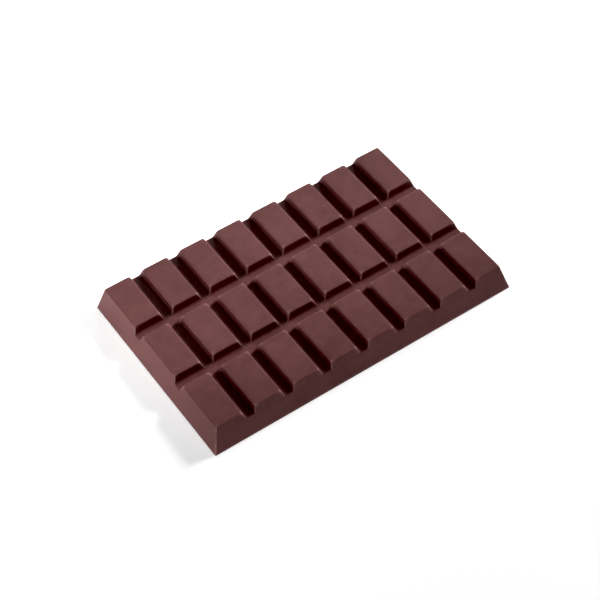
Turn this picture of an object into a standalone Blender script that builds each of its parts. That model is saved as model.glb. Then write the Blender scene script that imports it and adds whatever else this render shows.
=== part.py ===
"""A moulded chocolate bar, as one solid.

The bar is a shallow slab with a flat underside. Its four sides lean in
towards the top. Straight break grooves of one section cross it both ways and
run out through the sides, so the top stands up as a grid of oblong pieces.

Units are metres and +Z is up. The origin is the middle of the underside, and
the long side of the bar lies along X.
"""

from math import radians

import bmesh
import bpy

# Slab: the outline at the underside, and how far each side leans in by the top
LENGTH = 0.1180
WIDTH = 0.0748
THICKNESS = 0.0099
SIDE_INSET = 0.0028

# Break grooves: how many pieces they leave, and their section
COLUMNS = 8
ROWS = 3
GROOVE_DEPTH = 0.0028
GROOVE_MOUTH = 0.0050
GROOVE_FLOOR = 0.0030

# Soft edges that a mould leaves on chocolate; the rim is scraped level, so it stays crisp
EDGE_ROUNDING = 0.00045
EDGE_SEGMENTS = 2
SHARP_ANGLE = radians(25)

# How far a cutter runs past what it cuts
CUTTER_MARGIN = 0.0020

CHOCOLATE_COLOR = (0.117, 0.040, 0.037, 1.0)
CHOCOLATE_ROUGHNESS = 0.42


def clear_scene():
    """Remove the objects that the scene starts with."""
    for old in list(bpy.data.objects):
        bpy.data.objects.remove(old, do_unlink=True)


def new_collection(name, parent):
    """Make a collection inside another."""
    collection = bpy.data.collections.new(name)
    parent.children.link(collection)
    return collection


def chocolate():
    """Dark chocolate out of a polished mould: red-brown, with a satin skin."""
    material = bpy.data.materials.new("dark_chocolate")
    material.use_nodes = True
    shader = material.node_tree.nodes["Principled BSDF"]
    shader.inputs["Base Color"].default_value = CHOCOLATE_COLOR
    shader.inputs["Roughness"].default_value = CHOCOLATE_ROUGHNESS
    shader.inputs["Metallic"].default_value = 0.0
    material.diffuse_color = CHOCOLATE_COLOR
    return material


def tapered_block(name, collection, bottom, top, low, high):
    """Make a cube whose bottom and top faces have their own size (x, y), from z = low to z = high."""
    mesh = bpy.data.meshes.new(name)
    shape = bmesh.new()
    bmesh.ops.create_cube(shape, size=1.0)
    for vert in shape.verts:
        size, height = (top, high) if vert.co.z > 0 else (bottom, low)
        vert.co = (vert.co.x * size[0], vert.co.y * size[1], height)
    shape.to_mesh(mesh)
    shape.free()
    block = bpy.data.objects.new(name, mesh)
    collection.objects.link(block)
    return block


def as_cutter(block):
    """Show a block as a cutter: an outline that is never rendered."""
    block.hide_render = True
    block.display_type = "WIRE"
    return block


def slab(collection):
    """Make the bar before it is cut: a block whose sides lean in, carried on a little below the underside."""
    flare = SIDE_INSET * CUTTER_MARGIN / THICKNESS
    foot = (LENGTH + 2 * flare, WIDTH + 2 * flare)
    crown = (LENGTH - 2 * SIDE_INSET, WIDTH - 2 * SIDE_INSET)
    return tapered_block("chocolate_bar", collection, foot, crown, -CUTTER_MARGIN, THICKNESS)


def groove_places(span, pieces):
    """Give the middles of the grooves that part a top of this span into equal pieces."""
    piece = (span - (pieces - 1) * GROOVE_MOUTH) / pieces
    pitch = piece + GROOVE_MOUTH
    return [-span / 2 + number * pitch - GROOVE_MOUTH / 2 for number in range(1, pieces)]


def groove_cutter(name, collection, along_x):
    """Make one groove's cutter: a bar of the groove's section, whose walls keep their slope above the top."""
    above = GROOVE_DEPTH + CUTTER_MARGIN
    spread = (GROOVE_MOUTH - GROOVE_FLOOR) * above / GROOVE_DEPTH
    run = (LENGTH if along_x else WIDTH) + 2 * CUTTER_MARGIN
    narrow = GROOVE_FLOOR
    wide = GROOVE_FLOOR + spread
    bottom = (run, narrow) if along_x else (narrow, run)
    top = (run, wide) if along_x else (wide, run)
    cutter = as_cutter(tapered_block(name, collection, bottom, top, 0.0, above))
    cutter.location.z = THICKNESS - GROOVE_DEPTH
    return cutter


def lay_out_grooves(collection):
    """Lay out the cutters of every groove, those across the bar and those along it."""
    for number, place in enumerate(groove_places(LENGTH - 2 * SIDE_INSET, COLUMNS), start=1):
        groove_cutter(f"cross_groove_{number}", collection, along_x=False).location.x = place
    for number, place in enumerate(groove_places(WIDTH - 2 * SIDE_INSET, ROWS), start=1):
        groove_cutter(f"long_groove_{number}", collection, along_x=True).location.y = place


def cut_grooves(bar, cutters):
    """Sink the grooves into the bar, and merge the flat faces that the cuts split."""
    cut = bar.modifiers.new("Break grooves", "BOOLEAN")
    cut.operation = "DIFFERENCE"
    cut.operand_type = "COLLECTION"
    cut.collection = cutters
    cut.solver = "EXACT"
    merge = bar.modifiers.new("Merge flat faces", "DECIMATE")
    merge.decimate_type = "DISSOLVE"
    merge.angle_limit = radians(1)


def level_underside(bar, collection):
    """Take off what hangs below the underside, which leaves a flat face with a crisp rim."""
    size = (LENGTH + 4 * CUTTER_MARGIN, WIDTH + 4 * CUTTER_MARGIN)
    cutter = as_cutter(tapered_block("underside_cutter", collection, size, size, -2 * CUTTER_MARGIN, 0.0))
    level = bar.modifiers.new("Level underside", "BOOLEAN")
    level.operation = "DIFFERENCE"
    level.operand_type = "OBJECT"
    level.object = cutter
    level.solver = "EXACT"


def soften_edges(bar):
    """Round every edge and fill every inner corner by the same small radius."""
    bevel = bar.modifiers.new("Soft edges", "BEVEL")
    bevel.limit_method = "ANGLE"
    bevel.angle_limit = SHARP_ANGLE
    bevel.width = EDGE_ROUNDING
    bevel.segments = EDGE_SEGMENTS


clear_scene()
parts = new_collection("Chocolate bar", bpy.context.scene.collection)
cutters = new_collection("Cutters", bpy.context.scene.collection)
grooves = new_collection("Groove cutters", cutters)

chocolate_bar = slab(parts)
chocolate_bar.data.materials.append(chocolate())
lay_out_grooves(grooves)
cut_grooves(chocolate_bar, grooves)
soften_edges(chocolate_bar)
level_underside(chocolate_bar, cutters)
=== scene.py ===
"""A moulded bar of dark chocolate on a pale floor, under soft studio light."""

import bpy
import numpy as np
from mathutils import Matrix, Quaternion, Vector


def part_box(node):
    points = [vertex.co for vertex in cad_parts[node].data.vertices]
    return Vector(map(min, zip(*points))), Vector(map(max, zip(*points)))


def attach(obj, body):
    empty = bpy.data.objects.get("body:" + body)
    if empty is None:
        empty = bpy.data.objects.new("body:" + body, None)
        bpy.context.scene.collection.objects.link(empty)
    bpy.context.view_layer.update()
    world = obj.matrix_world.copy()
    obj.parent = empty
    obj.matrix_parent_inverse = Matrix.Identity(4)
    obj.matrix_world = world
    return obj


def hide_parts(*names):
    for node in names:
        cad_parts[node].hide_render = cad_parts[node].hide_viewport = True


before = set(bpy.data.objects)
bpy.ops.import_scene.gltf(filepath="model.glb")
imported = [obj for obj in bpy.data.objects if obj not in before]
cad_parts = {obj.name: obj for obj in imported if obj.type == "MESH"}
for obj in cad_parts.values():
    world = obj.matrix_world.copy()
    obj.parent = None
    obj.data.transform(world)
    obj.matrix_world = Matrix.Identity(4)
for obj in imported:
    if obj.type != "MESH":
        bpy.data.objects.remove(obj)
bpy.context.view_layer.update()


# The bar
# A solid tablet of dark chocolate, cast face down in a polished mould, knocked out and turned over.
# Grooves part it into pieces to snap off. The mould gives it satin faces, none of them quite flat,
# and soft edges. Its corners carry thin pale lines, partly rubbed wear and partly a painted highlight. Its
# underside is level where the chocolate was scraped flush.

MM = 0.001
bar_low, bar_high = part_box("chocolate_bar")
LENGTH = bar_high[0] - bar_low[0]
WIDTH = bar_high[1] - bar_low[1]
THICKNESS = bar_high[2] - bar_low[2]
SIDE_INSET = 2.8 * MM
SIDE_SLOPE = THICKNESS / SIDE_INSET
COLUMNS = 8
ROWS = 3
GROOVE_DEPTH = 2.8 * MM
GROOVE_MOUTH = 5.0 * MM
GROOVE_FLOOR = 3.0 * MM
GROOVE_WALL = (GROOVE_MOUTH - GROOVE_FLOOR) / 2
WALL_SLOPE = GROOVE_DEPTH / GROOVE_WALL
EDGE_RADIUS = 0.25 * MM
FLOOR_RADIUS = 0.90 * MM


def rounded_fall(run, slope, radius):
    """Depth of a level face that turns down at run = 0 into a plane of this slope.

    Before the turn the depth is 0 and after it slope times run. Between them lies a circular arc of
    the given radius that touches both lines.
    """
    turn = np.arctan(slope)
    reach = radius * np.tan(turn / 2)
    into = np.clip(run + reach, 0, None)
    arc = radius - np.sqrt(np.clip(radius ** 2 - into ** 2, 0, None))
    return np.where(run < -reach, 0.0, np.where(run < reach * np.cos(turn), arc, slope * run))


def rounded_corner(first, second, radius):
    """How far a point lies past an outline, from its distances past two sides that meet squarely.

    Past one side alone it is that distance. Round the corner, where the two differ by less than the
    radius, it is radius + (first + second - root of (2 radius^2 - (first - second)^2)) / 2.
    """
    gap = np.abs(first - second)
    arc = radius + (first + second - np.sqrt(np.clip(2 * radius ** 2 - gap ** 2, 0, None))) / 2
    return np.where(gap < radius, arc, np.maximum(first, second))


def groove_places(span, pieces):
    """Middles of the grooves that part a span into equal pieces: one pitch apart, about zero."""
    pitch = (span - (pieces - 1) * GROOVE_MOUTH) / pieces + GROOVE_MOUTH
    return (np.arange(1, pieces) - pieces / 2) * pitch


def past_mouth(place, middles):
    """Distance into the nearest groove from the edge of its mouth, below zero on the pieces."""
    return GROOVE_MOUTH / 2 - np.abs(place[..., None] - middles).min(axis=-1)


def groove_depth(run):
    """Depth at a distance into a groove: a sloping wall, which runs on above the top, a fillet, a floor."""
    floor = GROOVE_DEPTH - rounded_fall(GROOVE_WALL - run, WALL_SLOPE, FLOOR_RADIUS)
    return np.where(run < GROOVE_WALL / 2, WALL_SLOPE * run, floor)


TOP_SPACING = 0.60 * MM


def top_lines(start, end):
    """Evenly spaced lines strictly between two places."""
    count = int(round((end - start) / TOP_SPACING))
    return np.linspace(start, end, count + 1)[1:-1]


def grid_lines(half, middles):
    """Places of the grid's lines along one axis: close together on every edge, wall and fillet.

    Across a groove they go from its middle over the floor, the fillet, the wall and the edge, and the
    other half mirrors them. Down a side they pass the edge, the slope, the foot of a groove that runs
    out there, and the slope below it. Each stretch has evenly spaced lines.
    """
    edge = EDGE_RADIUS * np.tan(np.arctan(WALL_SLOPE) / 2)
    fillet = FLOOR_RADIUS * np.tan(np.arctan(WALL_SLOPE) / 2)
    mouth, floor = GROOVE_MOUTH / 2, GROOVE_FLOOR / 2
    groove = np.concatenate([
        np.linspace(0, floor - fillet, 4)[:-1],
        np.linspace(floor - fillet, floor + fillet * 0.5, 7)[:-1],
        np.linspace(floor + fillet * 0.5, mouth - edge * 0.5, 6)[:-1],
        np.linspace(mouth - edge * 0.5, mouth + edge, 6),
    ])
    groove = np.concatenate([-groove[:0:-1], groove])
    side_edge = EDGE_RADIUS * np.tan(np.arctan(SIDE_SLOPE) / 2)
    lip = GROOVE_DEPTH / SIDE_SLOPE
    side = half - SIDE_INSET + np.concatenate([
        np.linspace(-side_edge, side_edge * 0.3, 6)[:-1],
        np.linspace(side_edge * 0.3, lip * 0.7, 4)[:-1],
        np.linspace(lip * 0.7, lip * 1.4, 7)[:-1],
        np.linspace(lip * 1.4, SIDE_INSET, 7),
    ])
    lines = [-side[::-1]]
    for middle in middles:
        lines += [top_lines(lines[-1][-1], middle + groove[0]), middle + groove]
    lines += [top_lines(lines[-1][-1], side[0]), side]
    return np.concatenate(lines)


CORNER_RADIUS = 0.50 * MM


def past_sides(x, y):
    """Distances past the top's outline along both axes, below zero on the top."""
    return np.abs(x) - (LENGTH / 2 - SIDE_INSET), np.abs(y) - (WIDTH / 2 - SIDE_INSET)


def round_corners(x, y):
    """Slide the points round the bar's corners inwards along the diagonal.

    Each moves by as much as rounding the corner adds to its distance past the top, so that each
    square ring of the grid becomes a ring of one depth. On the top the slide fades out.
    """
    past_x, past_y = past_sides(x, y)
    ring = np.maximum(past_x, past_y)
    slide = rounded_corner(past_x, past_y, CORNER_RADIUS) - ring
    slide *= np.clip(1 + ring / CORNER_RADIUS, 0, 1)
    return x - np.sign(x) * slide, y - np.sign(y) * slide


CROWN = 0.06 * MM
TILT = 0.02 * MM


def piece_relief(x, y, middles_x, middles_y, random):
    """Height of each piece's own face above one plane: a low crown and a slight tilt.

    With places measured from -1 to 1 across and along the piece, it is the crown's height times
    (1 - across squared) (1 - along squared), plus one random tilt times across and one times along.
    """
    bounds_x = np.concatenate([[-LENGTH / 2], middles_x, [LENGTH / 2]])
    bounds_y = np.concatenate([[-WIDTH / 2], middles_y, [WIDTH / 2]])
    column = np.clip(np.searchsorted(bounds_x, x) - 1, 0, COLUMNS - 1)
    row = np.clip(np.searchsorted(bounds_y, y) - 1, 0, ROWS - 1)
    across = 2 * (x - bounds_x[column]) / (bounds_x[column + 1] - bounds_x[column]) - 1
    along = 2 * (y - bounds_y[row]) / (bounds_y[row + 1] - bounds_y[row]) - 1
    crown = CROWN * (1 - across ** 2) * (1 - along ** 2)
    tilt_x = random.uniform(-TILT, TILT, (COLUMNS, ROWS))
    tilt_y = random.uniform(-TILT, TILT, (COLUMNS, ROWS))
    return crown + tilt_x[column, row] * across + tilt_y[column, row] * along


def ripple(x, y, shortest, longest, count, random):
    """Gentle unevenness, mostly within -1 to 1: a sum of plane waves of many lengths and directions.

    Each wave is the sine of 2 pi times the distance along its heading over its length, plus a phase,
    and the sum is divided by the root of the count.
    """
    length = np.exp(random.uniform(np.log(shortest), np.log(longest), count))
    heading = random.uniform(0, 2 * np.pi, count)
    phase = random.uniform(0, 2 * np.pi, count)
    total = np.zeros_like(x)
    for wave in range(count):
        along = x * np.cos(heading[wave]) + y * np.sin(heading[wave])
        total += np.sin(2 * np.pi * along / length[wave] + phase[wave])
    return total / np.sqrt(count)


middles_x = groove_places(LENGTH - 2 * SIDE_INSET, COLUMNS)
middles_y = groove_places(WIDTH - 2 * SIDE_INSET, ROWS)
lines_x = grid_lines(LENGTH / 2, middles_x)
lines_y = grid_lines(WIDTH / 2, middles_y)
grid_x, grid_y = round_corners(*np.meshgrid(lines_x, lines_y, indexing="ij"))

# The grooves are cut first, and then the sides are led round the cut. Round the pieces' corners the
# two meet in a wide curve at the top and in a narrow one at the foot of a groove.
PIECE_RADIUS = 0.50 * MM
LIP_RADIUS = 0.15 * MM
into_groove = rounded_corner(past_mouth(grid_x, middles_x), past_mouth(grid_y, middles_y), PIECE_RADIUS)
cut = groove_depth(into_groove)
down_side = rounded_corner(*past_sides(grid_x, grid_y), CORNER_RADIUS)
meeting_radius = PIECE_RADIUS + (LIP_RADIUS - PIECE_RADIUS) * np.clip(cut / GROOVE_DEPTH, 0, 1)
past_edge = rounded_corner(down_side, cut / SIDE_SLOPE, meeting_radius)
depth = rounded_fall(past_edge, SIDE_SLOPE, EDGE_RADIUS)

# The tops are uneven, and the unevenness fades out down the grooves and the sides.
RIPPLE = 0.012 * MM
SHORTEST_WAVE = 4 * MM
LONGEST_WAVE = 30 * MM
WAVES = 60
random = np.random.default_rng(24)
uneven = piece_relief(grid_x, grid_y, middles_x, middles_y, random)
uneven += RIPPLE * ripple(grid_x, grid_y, SHORTEST_WAVE, LONGEST_WAVE, WAVES, random)
height = THICKNESS - depth + uneven * np.clip(1 - depth / GROOVE_DEPTH, 0, 1)
height[[0, -1], :] = 0
height[:, [0, -1]] = 0


def corner_sharpness(height, lines_x, lines_y):
    """How sharply the surface turns along both axes at once, per metre: the smaller of its two bends.

    A bend is the slope, along its own axis, of the normal's level part. Straight edges have one bend
    only and count as zero; the corners where two walls or slopes meet have both.
    """
    rise_x, rise_y = np.gradient(height, lines_x, lines_y)
    steep = np.sqrt(1 + rise_x ** 2 + rise_y ** 2)
    bend_x = np.gradient(-rise_x / steep, lines_x, axis=0)
    bend_y = np.gradient(-rise_y / steep, lines_y, axis=1)
    return np.minimum(bend_x, bend_y)


# This mask places the pale lines on the corners: partly rubbed wear, partly a painted highlight.
corner = np.clip(PIECE_RADIUS * corner_sharpness(height, lines_x, lines_y), 0, 1)

cols, rows = height.shape
points = np.stack([grid_x, grid_y, height], axis=-1).reshape(-1, 3) + [0, 0, bar_low[2]]
index = np.arange(cols * rows).reshape(cols, rows)
quads = np.stack([index[:-1, :-1], index[1:, :-1], index[1:, 1:], index[:-1, 1:]], axis=-1)
quads = quads.reshape(-1, 4)

# The underside is one level face inside the rim.
rim = np.concatenate([index[:-1, 0], index[-1, :-1], index[:0:-1, -1], index[0, :0:-1]])
mesh = bpy.data.meshes.new("bar")
mesh.from_pydata(points, [], quads.tolist() + [rim[::-1].tolist()])
mesh.shade_smooth()
mesh.polygons[len(quads)].use_smooth = False
mesh.attributes.new("corner", "FLOAT", "POINT").data.foreach_set("value", corner.ravel())
bar = bpy.data.objects.new("moulded_bar", mesh)
bpy.context.scene.collection.objects.link(bar)


def linear(hex_color):
    """An sRGB hex colour as linear red, green, blue and alpha: the standard curve, channel by channel."""
    srgb = np.array([int(hex_color[place:place + 2], 16) for place in (1, 3, 5)]) / 255
    color = np.where(srgb <= 0.04045, srgb / 12.92, ((srgb + 0.055) / 1.055) ** 2.4)
    return (*color.tolist(), 1.0)


def add_node(tree, kind, inputs=None, **settings):
    """Add one node with its settings, and link or set its inputs by name or number."""
    node = tree.nodes.new(kind)
    for name, value in settings.items():
        setattr(node, name, value)
    for name, value in (inputs or {}).items():
        if isinstance(value, bpy.types.NodeSocket):
            tree.links.new(value, node.inputs[name])
        else:
            node.inputs[name].default_value = value
    return node


DARKEST_BROWN = "#553434"
PALEST_BROWN = "#5F3C3B"
RUBBED_AND_HIGHLIGHT_BROWN = "#A98380"
DRIFT_LENGTH = 16 * MM
PATCH_LENGTH = 3 * MM
CRUMBLE_LENGTH = 1.2 * MM
GRAIN_LENGTH = 0.35 * MM
DIMPLE_DEPTH = 0.03 * MM
GRAIN_DEPTH = 0.006 * MM


def moulded_dark_chocolate():
    """Tempered dark chocolate out of a polished mould, handled a little since.

    To the eye it is a deep red-brown with a satin sheen. Its tone drifts over a centimetre or two,
    with faint cloudy patches a few millimetres wide. Its corners carry thin pale lines, partly rubbed wear
    and partly painted highlights where the rounded corners catch the light.
    A fine grain and shallow dimples spread its gloss, which is weaker than cocoa butter's own.
    """
    material = bpy.data.materials.new("moulded_dark_chocolate")
    material.use_nodes = True
    tree = material.node_tree
    shader = tree.nodes["Principled BSDF"]
    place = add_node(tree, "ShaderNodeTexCoord").outputs["Object"]

    drift = add_node(tree, "ShaderNodeTexNoise", {
        "Vector": place, "Scale": 1 / DRIFT_LENGTH, "Detail": 1.0})
    patches = add_node(tree, "ShaderNodeTexNoise", {
        "Vector": place, "Scale": 1 / PATCH_LENGTH, "Detail": 3.0})
    tone = add_node(tree, "ShaderNodeMix", {
        "Factor": 0.45, 2: drift.outputs["Fac"], 3: patches.outputs["Fac"]})
    brown = add_node(tree, "ShaderNodeValToRGB", {"Fac": tone.outputs[0]})
    darkest, palest = brown.color_ramp.elements
    darkest.position, darkest.color = 0.36, linear(DARKEST_BROWN)
    palest.position, palest.color = 0.64, linear(PALEST_BROWN)

    # Painted highlight: the pale brown on the corners stands partly for rubbed wear and partly for the
    # highlights the corners catch.
    corner = add_node(tree, "ShaderNodeAttribute", attribute_name="corner")
    crumble = add_node(tree, "ShaderNodeTexNoise", {
        "Vector": place, "Scale": 1 / CRUMBLE_LENGTH, "Detail": 2.0})
    rubbed_and_highlight = add_node(tree, "ShaderNodeMath", {0: corner.outputs["Fac"], 1: crumble.outputs["Fac"]},
                      operation="MULTIPLY", use_clamp=True)
    color = add_node(tree, "ShaderNodeMix", {
        "Factor": rubbed_and_highlight.outputs[0], 6: brown.outputs["Color"], 7: linear(RUBBED_AND_HIGHLIGHT_BROWN)}, data_type="RGBA")
    tree.links.new(color.outputs[2], shader.inputs["Base Color"])

    satin = add_node(tree, "ShaderNodeMapRange", {
        "Value": patches.outputs["Fac"], "From Min": 0.3, "From Max": 0.7, "To Min": 0.46, "To Max": 0.56})
    tree.links.new(satin.outputs["Result"], shader.inputs["Roughness"])
    shader.inputs["IOR"].default_value = 1.46
    shader.inputs["Specular IOR Level"].default_value = 0.13

    grain = add_node(tree, "ShaderNodeTexNoise", {
        "Vector": place, "Scale": 1 / GRAIN_LENGTH, "Detail": 3.0})
    dimples = add_node(tree, "ShaderNodeBump", {
        "Height": patches.outputs["Fac"], "Distance": DIMPLE_DEPTH, "Strength": 1.0})
    fine = add_node(tree, "ShaderNodeBump", {
        "Height": grain.outputs["Fac"], "Distance": GRAIN_DEPTH, "Strength": 1.0,
        "Normal": dimples.outputs["Normal"]})
    tree.links.new(fine.outputs["Normal"], shader.inputs["Normal"])
    return material


mesh.materials.append(moulded_dark_chocolate())
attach(bar, "root")
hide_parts("chocolate_bar")


# The floor
# A sheet of white acrylic, wide enough to fill the picture and just under the bar. It is matt, so it
# shows no reflection, and lit a little from below, so that the bar throws only a faint shadow on it.

FLOOR_REACH = 3.0
FLOOR_GAP = 0.05 * MM
floor_mesh = bpy.data.meshes.new("floor")
floor_corners = [(-FLOOR_REACH, -FLOOR_REACH, 0), (FLOOR_REACH, -FLOOR_REACH, 0),
                 (FLOOR_REACH, FLOOR_REACH, 0), (-FLOOR_REACH, FLOOR_REACH, 0)]
floor_mesh.from_pydata(floor_corners, [], [(0, 1, 2, 3)])
floor = bpy.data.objects.new("floor", floor_mesh)
floor.location.z = bar_low[2] - FLOOR_GAP
bpy.context.scene.collection.objects.link(floor)
acrylic = bpy.data.materials.new("white_acrylic")
acrylic.use_nodes = True
acrylic_shader = acrylic.node_tree.nodes["Principled BSDF"]
acrylic_shader.inputs["Base Color"].default_value = linear("#F4F4F4")
acrylic_shader.inputs["Roughness"].default_value = 0.9
acrylic_shader.inputs["Specular IOR Level"].default_value = 0.0
acrylic_shader.inputs["Emission Color"].default_value = (1, 1, 1, 1)
acrylic_shader.inputs["Emission Strength"].default_value = 0.46
floor_mesh.materials.append(acrylic)


# The camera
# It looks down on the bar's middle over its front left corner, a little rolled, as in the photograph.
# Its place and lens follow from where the bar's corners lie in the picture.

CAMERA_AZIMUTH = 327.83
CAMERA_ELEVATION = 50.35
CAMERA_ROLL = -2.90
CAMERA_DISTANCE = 0.5635
CAMERA_AIM = Vector((-1.61 * MM, -0.48 * MM, 0))


def bearing(azimuth, elevation):
    """Unit vector away from the bar; azimuth turns from the front, through the right, to the back.

    With both angles in degrees, it is (sin az cos el, -cos az cos el, sin el).
    """
    turn, rise = np.radians(azimuth), np.radians(elevation)
    return Vector((np.sin(turn) * np.cos(rise), -np.cos(turn) * np.cos(rise), np.sin(rise)))


camera_data = bpy.data.cameras.new("camera")
camera_data.lens = 100.28
camera_data.sensor_width = 36.0
camera = bpy.data.objects.new("camera", camera_data)
camera_away = bearing(CAMERA_AZIMUTH, CAMERA_ELEVATION)
camera.location = CAMERA_AIM + CAMERA_DISTANCE * camera_away
roll = Quaternion((0, 0, 1), np.radians(CAMERA_ROLL))
camera.rotation_euler = (camera_away.to_track_quat("Z", "Y") @ roll).to_euler()
bpy.context.scene.collection.objects.link(camera)
bpy.context.scene.camera = camera


# The light
# Softboxes stand low round the bar, weakest in front, so that the walls facing the camera stay dark.
# Frosted spot lamps, two at the right and two at the left, are aimed a little behind the bar's middle
# and leave its front row darker.

# The radius of a spot lamp's frosted face, as a share of its distance.
SPOT_FACE = 0.05


def stand(name, data, azimuth, elevation, distance, aim):
    """Put a lamp on its stand, at a distance from the place that it faces."""
    away = bearing(azimuth, elevation)
    lamp = bpy.data.objects.new(name, data)
    lamp.location = Vector(aim) + distance * away
    lamp.rotation_euler = away.to_track_quat("Z", "Y").to_euler()
    bpy.context.scene.collection.objects.link(lamp)


def softbox(name, azimuth, elevation, distance, width, height, power):
    """A flat glowing panel that faces the bar."""
    data = bpy.data.lights.new(name, "AREA")
    data.shape = "RECTANGLE"
    data.size = width
    data.size_y = height
    data.energy = power
    stand(name, data, azimuth, elevation, distance, aim=(0, 0, 0))


def spot(name, azimuth, elevation, distance, cone, aim, power):
    """A lamp whose light fades from the middle of its cone, in degrees, to the cone's edge."""
    data = bpy.data.lights.new(name, "SPOT")
    data.shadow_soft_size = SPOT_FACE * distance
    data.spot_size = np.radians(cone)
    data.spot_blend = 1.0
    data.energy = power
    stand(name, data, azimuth, elevation, distance, aim)


softbox("right_box", azimuth=92, elevation=40, distance=1.2, width=0.22, height=0.22, power=8.2)
softbox("back_low_box", azimuth=148, elevation=16, distance=0.8, width=0.15, height=0.15, power=1.9)
softbox("back_high_box", azimuth=180, elevation=40, distance=0.8, width=0.15, height=0.15, power=1.6)
softbox("left_box", azimuth=270, elevation=6, distance=0.8, width=0.14, height=0.14, power=2.9)
softbox("front_strip", azimuth=0, elevation=6, distance=0.8, width=0.70, height=0.14, power=1.2)
spot("right_low_spot", azimuth=98, elevation=13, distance=1.2, cone=9.4, aim=(-0.115, 0.007, 0), power=101)
spot("right_high_spot", azimuth=98, elevation=22, distance=1.2, cone=7.4, aim=(-0.085, 0.008, 0), power=56)
spot("left_low_spot", azimuth=255, elevation=6, distance=0.6, cone=13, aim=(0, 0.012, 0), power=8.6)
spot("left_high_spot", azimuth=270, elevation=26, distance=0.6, cone=13, aim=(0, 0.012, 0), power=6.2)

# The room is dark: all the light comes from the lamps and the floor.
world = bpy.data.worlds.new("studio")
world.use_nodes = True
world.node_tree.nodes["Background"].inputs["Color"].default_value = (1, 1, 1, 1)
world.node_tree.nodes["Background"].inputs["Strength"].default_value = 0.0
bpy.context.scene.world = world

# The picture's levels: what is nearly unlit is full black, and the lit floor is full white.
BLACK_LEVEL = 0.014
view = bpy.context.scene.view_settings
view.view_transform = "Standard"
view.use_curve_mapping = True
view.curve_mapping.black_level = (BLACK_LEVEL, BLACK_LEVEL, BLACK_LEVEL)
view.curve_mapping.white_level = (1.0, 1.0, 1.0)
